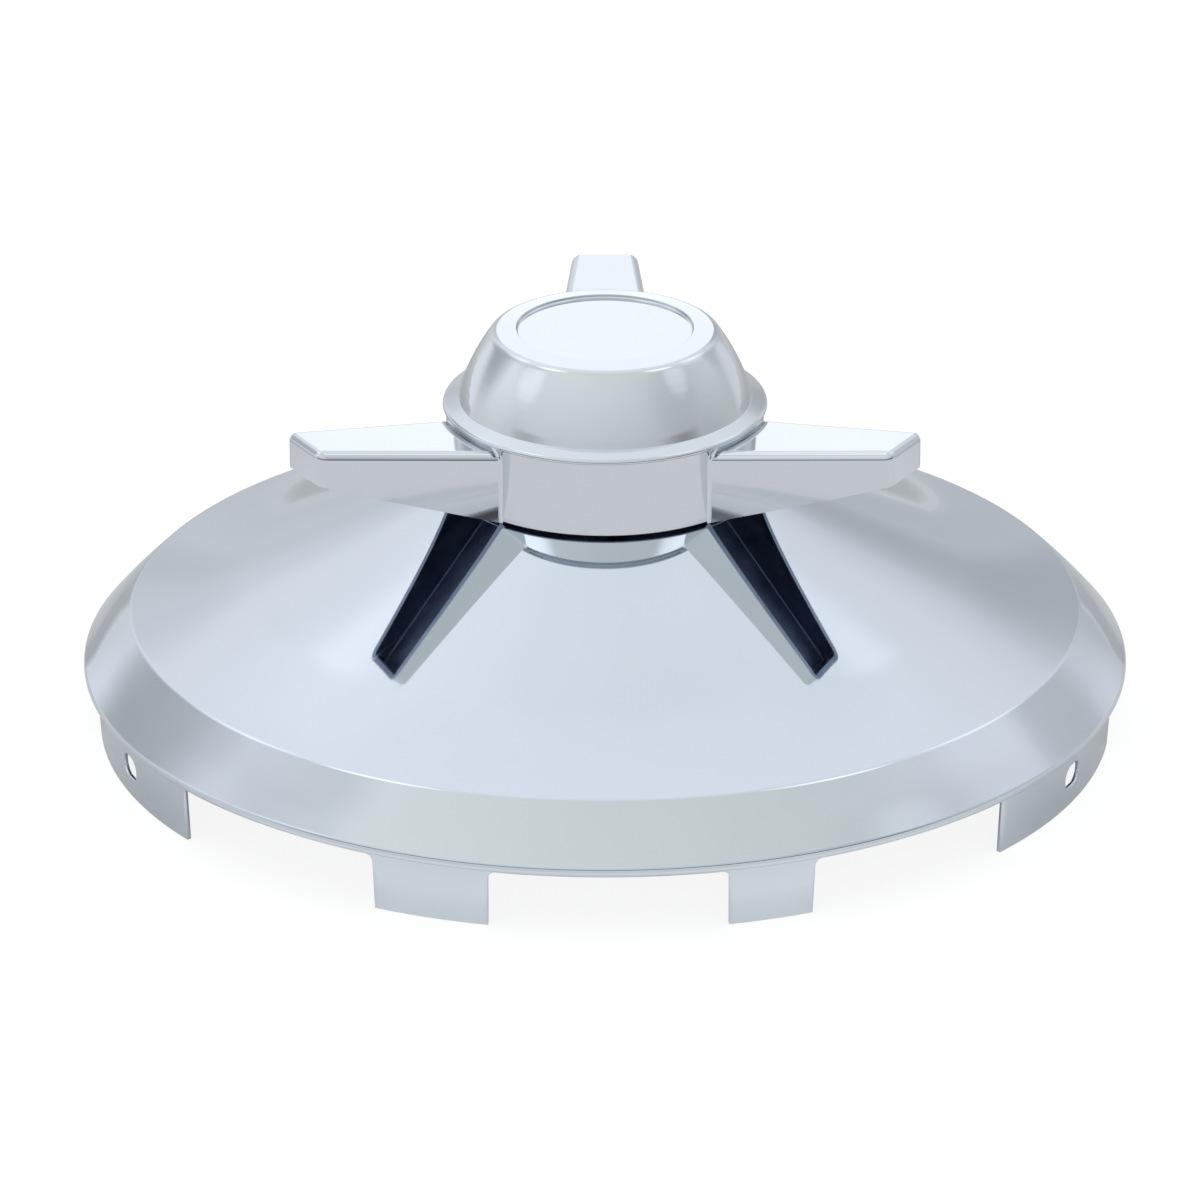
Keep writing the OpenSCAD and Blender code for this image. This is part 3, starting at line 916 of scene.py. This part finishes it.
# Soft dark and bright places of the room: direction, width in degrees, change of brightness
ROOM = (
    ((-0.72, 0.52, 0.38), 25, -0.42),
    ((-0.22, 0.91, 0.33), 12, -0.14),
    ((-0.68, 0.73, -0.05), 16, 0.16),
    ((-0.20, 0.97, 0.08), 15, -0.08),
    ((-0.72, 0.05, 0.68), 20, -0.18),
    ((-0.93, 0.10, 0.28), 22, 0.08),
    ((0.24, 0.94, 0.20), 25, -0.15),
    ((0.24, 0.91, 0.33), 12, -0.16),
    ((0.68, 0.73, -0.05), 16, 0.16),
    ((0.74, 0.57, 0.36), 15, -0.16),
    ((0.78, 0.28, 0.56), 14, 0.08),
    ((0.80, -0.42, 0.44), 26, -0.07),
    ((0.55, 0.48, 0.69), 12, 0.34),
    ((-0.54, 0.48, 0.69), 12, 0.26),
    ((-0.83, -0.20, 0.50), 14, 0.22),
    ((0.80, -0.20, 0.56), 13, 0.22),
    ((-0.48, 0.03, 0.88), 12, 0.60),
    ((0.48, 0.03, 0.88), 12, 0.60),
)
# Ranges of a direction's parts, with the values at their ends. The front is dimmer, and so is the right (along x)
FRONT_DIMMER = (-0.1, 0.35, 0.87, 1.0)
RIGHT_DIMMER = (0.2, 0.8, 0.09, 0.14)
# Dark line at the horizon in front: its foot and its top by height, and its end towards the back
DARK_LINE = ((-0.10, 0.0, 0.0, 1.0), (0.10, 0.20, 1.0, 0.0), (-0.5, -0.2, 0.5, 0.0))
# Bright panel behind: half its width by height, then its side edges, its foot, its top and its light
PANEL_HALF = (0.15, 0.3, 0.10, 0.15)
PANEL = ((0.0, 0.04, 1.0, 0.0), (0.02, 0.07, 0.0, 1.0), (0.74, 0.79, 1.0, 0.0), (0.3, 0.5, 0.0, 1.28))
# Warmer and cooler tint of the light, and where each of them is, by height and by depth
ROOM_TINTS = ((0.96, 1.0, 0.96), (0.965, 1.0, 1.045))
WARM_CEILING = ((0.6, 0.75, 0.0, 1.0), (-0.3, 0.2, 1.0, 0.0))
COOL_WALLS = ((-0.1, 0.2, 0.2, 1.0), (0.3, 0.6, 0.0, 1.0))
# Glow of the floor in the metal, painted light and shade: by depth, brighter in front, dimmer just behind and a
# little brighter far behind, and by depth times distance from the axis, a painted shadow close beside and behind the
# object and painted light close in front of it
FLOOR_SHADE_BY_DEPTH = ((0.05, 0.15, 0.28, 0.0), (0.3, 0.5, 0.0, 0.16))
FLOOR_SHADOW_AND_LIGHT_RINGS = (((-0.09, -0.05, 0.0, 1.0), (0.12, 0.19, -0.10, 0.0)),
               ((-0.09, -0.06, 1.0, 0.0), (0.12, 0.14, 0.20, 0.0)))
# Share of light that the floor gives back and its own light, in the metal and to the camera
FLOOR_IN_METAL = 0.56
FLOOR_SEEN = (0.18, 0.88)
# How far the floor lies below the tabs' ends
FLOOR_DROP = 0.0002
# Brightness of the room by the height of the direction
SKY = ((0.0, 0.74), (0.15, 0.80), (0.285, 0.88), (0.5, 0.95), (0.71, 1.04), (1.0, 1.01))


def studio_world(world):
    """Soft studio surroundings with a bright panel behind the object; the camera sees plain white."""
    world.use_nodes = True
    tree = world.node_tree
    tree.nodes.clear()
    place = tree.nodes.new("ShaderNodeTexCoord").outputs["Generated"]
    parts = tree.nodes.new("ShaderNodeSeparateXYZ")
    tree.links.new(place, parts.inputs["Vector"])
    x, y, z = (parts.outputs[label] for label in "XYZ")
    height = tree.nodes.new("ShaderNodeValToRGB")
    ramp = height.color_ramp
    for position, level in SKY:
        stop = ramp.elements.new(position) if 0 < position < 1 else ramp.elements[-round(position)]
        stop.color = (level, level, level, 1)
    tree.links.new(z, height.inputs["Fac"])
    level = product(tree, height.outputs["Color"], spread(tree, y, *FRONT_DIMMER))
    level = sum_of(tree, "SUBTRACT", level, product(tree, x, spread(tree, z, *RIGHT_DIMMER)))
    for direction, width, change in ROOM:
        dot = tree.nodes.new("ShaderNodeVectorMath")
        dot.operation = "DOT_PRODUCT"
        tree.links.new(place, dot.inputs[0])
        dot.inputs[1].default_value = Vector(direction).normalized()
        edge = math.cos(math.radians(width))
        level = sum_of(tree, "ADD", level, spread(tree, dot.outputs["Value"], edge, 1.0, 0.0, change, "SMOOTHSTEP"))
    dark = product(tree, *ranges(tree, (z, z, y), DARK_LINE))
    level = sum_of(tree, "SUBTRACT", level, dark)
    aside = sum_of(tree, "SUBTRACT", sum_of(tree, "ABSOLUTE", x, 0.0), spread(tree, z, *PANEL_HALF))
    panel = product(tree, *ranges(tree, (aside, z, z, y), PANEL))
    level = sum_of(tree, "MAXIMUM", level, panel)
    cool = sum_of(tree, "MAXIMUM", *ranges(tree, (z, y), COOL_WALLS))
    cool = sum_of(tree, "SUBTRACT", cool, product(tree, *ranges(tree, (z, y), WARM_CEILING)))
    studio = tree.nodes.new("ShaderNodeBackground")
    tree.links.new(two_tone(tree, cool, *ROOM_TINTS), studio.inputs["Color"])
    tree.links.new(level, studio.inputs["Strength"])
    white = tree.nodes.new("ShaderNodeBackground")
    white.inputs["Color"].default_value = (1, 1, 1, 1)
    output = tree.nodes.new("ShaderNodeOutputWorld")
    mix_shaders(tree, ("Is Camera Ray", "Is Transmission Ray"), studio.outputs["Background"],
                white.outputs["Background"], output.inputs["Surface"])


def mix_shaders(tree, kinds, others, given, socket):
    """Send one shader to rays of the given kinds and another one to all others."""
    rays = tree.nodes.new("ShaderNodeLightPath").outputs
    mix = tree.nodes.new("ShaderNodeMixShader")
    share = rays[kinds[0]]
    for kind in kinds[1:]:
        share = sum_of(tree, "MAXIMUM", share, rays[kind])
    tree.links.new(share, mix.inputs["Fac"])
    tree.links.new(others, mix.inputs[1])
    tree.links.new(given, mix.inputs[2])
    tree.links.new(mix.outputs["Shader"], socket)
    return mix.outputs["Shader"]


def lit_floor(tree, diffuse, glow):
    """Matt floor whose own light lifts it, so that its shadows stay darker; where that light varies over the floor it
    paints light and shade.
    """
    seen = tree.nodes.new("ShaderNodeBsdfDiffuse")
    seen.inputs["Color"].default_value = (diffuse, diffuse, diffuse, 1)
    light = tree.nodes.new("ShaderNodeEmission")
    feed(tree, glow, light.inputs["Strength"])
    both = tree.nodes.new("ShaderNodeAddShader")
    tree.links.new(seen.outputs["BSDF"], both.inputs[0])
    tree.links.new(light.outputs["Emission"], both.inputs[1])
    return both.outputs["Shader"]


def floor_material(colour):
    """Matt pale floor that the camera sees as white and metal as pale grey, both with the object's soft shadow; in
    the metal its glow also paints light in front of the object and shade beside and behind it.
    """
    material = bpy.data.materials.new("Pale floor")
    material.use_nodes = True
    tree = material.node_tree
    plain = tree.nodes["Principled BSDF"]
    plain.inputs["Base Color"].default_value = (*colour, 1)
    plain.inputs["Roughness"].default_value = 0.9
    plain.inputs["Specular IOR Level"].default_value = 0.0
    parts = tree.nodes.new("ShaderNodeSeparateXYZ")
    place = tree.nodes.new("ShaderNodeTexCoord").outputs["Object"]
    tree.links.new(place, parts.inputs["Vector"])
    away = tree.nodes.new("ShaderNodeVectorMath")
    away.operation = "LENGTH"
    tree.links.new(place, away.inputs[0])
    y = parts.outputs["Y"]
    # Painted light and shade of the floor as the metal sees it: brighter in front, dimmer behind, with a painted
    # shadow close beside and behind the object
    glow = sum_of(tree, "ADD", *(spread(tree, y, *ends) for ends in FLOOR_SHADE_BY_DEPTH))
    for depth, ring in FLOOR_SHADOW_AND_LIGHT_RINGS:
        glow = sum_of(tree, "ADD", glow, product(tree, *ranges(tree, (y, away.outputs["Value"]), (depth, ring))))
    surface = tree.nodes["Material Output"].inputs["Surface"]
    in_metal = lit_floor(tree, FLOOR_IN_METAL, glow)
    mirrored = mix_shaders(tree, ("Is Glossy Ray",), plain.outputs["BSDF"], in_metal, surface)
    mix_shaders(tree, ("Is Camera Ray", "Is Transmission Ray"), mirrored, lit_floor(tree, *FLOOR_SEEN), surface)
    return material


class HUBCAP_OT_stage(Operator):
    """Lay the pale floor and set up the soft light and the camera."""

    bl_idname = "hubcap.stage"
    bl_label = "Stage"
    bl_options = {"REGISTER", "UNDO"}

    def execute(self, context):
        s = context.scene.hubcap_stage
        scene = context.scene
        bm = bmesh.new()
        bmesh.ops.create_circle(bm, cap_ends=True, radius=s.floor_size, segments=64)
        bmesh.ops.translate(bm, vec=(0, 0, -FLOOR_DROP), verts=bm.verts)
        mesh = bpy.data.meshes.new("floor")
        bm.to_mesh(mesh)
        bm.free()
        mesh.materials.append(floor_material(s.floor_tint))
        floor = bpy.data.objects.new("floor", mesh)
        scene.collection.objects.link(floor)

        scene.world = bpy.data.worlds.new("Studio")
        studio_world(scene.world)

        camera = bpy.data.cameras.new("camera")
        camera.lens = s.camera_lens
        camera.sensor_width = 36
        camera.shift_x = s.shift_x
        camera.shift_y = s.shift_y
        camera.dof.use_dof = False
        camera.clip_start = 0.05
        camera.clip_end = 20
        camera_object = bpy.data.objects.new("camera", camera)
        target = Vector((0, 0, context.scene.hubcap_shell.rim_height))
        back = Vector((0, -math.cos(s.camera_rise), math.sin(s.camera_rise)))
        camera_object.location = target + back * s.camera_distance
        camera_object.rotation_euler = (-back).to_track_quat("-Z", "Y").to_euler()
        scene.collection.objects.link(camera_object)
        scene.camera = camera_object
        scene.view_settings.view_transform = "Standard"
        return {"FINISHED"}


class HUBCAP_PT_parts(Panel):
    """Lists the steps that build the hubcap."""

    bl_idname = "HUBCAP_PT_parts"
    bl_label = "Spinner Hubcap"
    bl_space_type = "VIEW_3D"
    bl_region_type = "UI"
    bl_category = "Hubcap"

    def draw(self, context):
        layout = self.layout
        for settings in SETTINGS:
            box = layout.box()
            group = getattr(context.scene, settings)
            for name in group.bl_rna.properties.keys():
                if name not in {"rna_type", "name"}:
                    box.prop(group, name)
        for step in STEPS:
            layout.operator(step)


SETTINGS = {
    "hubcap_shell": HubcapShellSizes,
    "hubcap_spinner": HubcapSpinnerSizes,
    "hubcap_fixing": HubcapFixingSizes,
    "hubcap_finishes": HubcapFinishes,
    "hubcap_stage": HubcapStageSettings,
}
OPERATORS = (HUBCAP_OT_shell, HUBCAP_OT_spinner, HUBCAP_OT_stud, HUBCAP_OT_washers, HUBCAP_OT_nut, HUBCAP_OT_stage)
STEPS = tuple(operator.bl_idname for operator in OPERATORS)


def register():
    for group in (*SETTINGS.values(), *OPERATORS, HUBCAP_PT_parts):
        bpy.utils.register_class(group)
    for name, group in SETTINGS.items():
        setattr(bpy.types.Scene, name, PointerProperty(type=group))


def unregister():
    for name in SETTINGS:
        delattr(bpy.types.Scene, name)
    for group in reversed((*SETTINGS.values(), *OPERATORS, HUBCAP_PT_parts)):
        bpy.utils.unregister_class(group)


def main():
    """Build every piece and the stage."""
    register()
    bpy.ops.hubcap.shell()
    bpy.ops.hubcap.spinner()
    bpy.ops.hubcap.stud()
    bpy.ops.hubcap.washers()
    bpy.ops.hubcap.nut()
    bpy.ops.hubcap.stage()


if __name__ == "__main__":
    main()
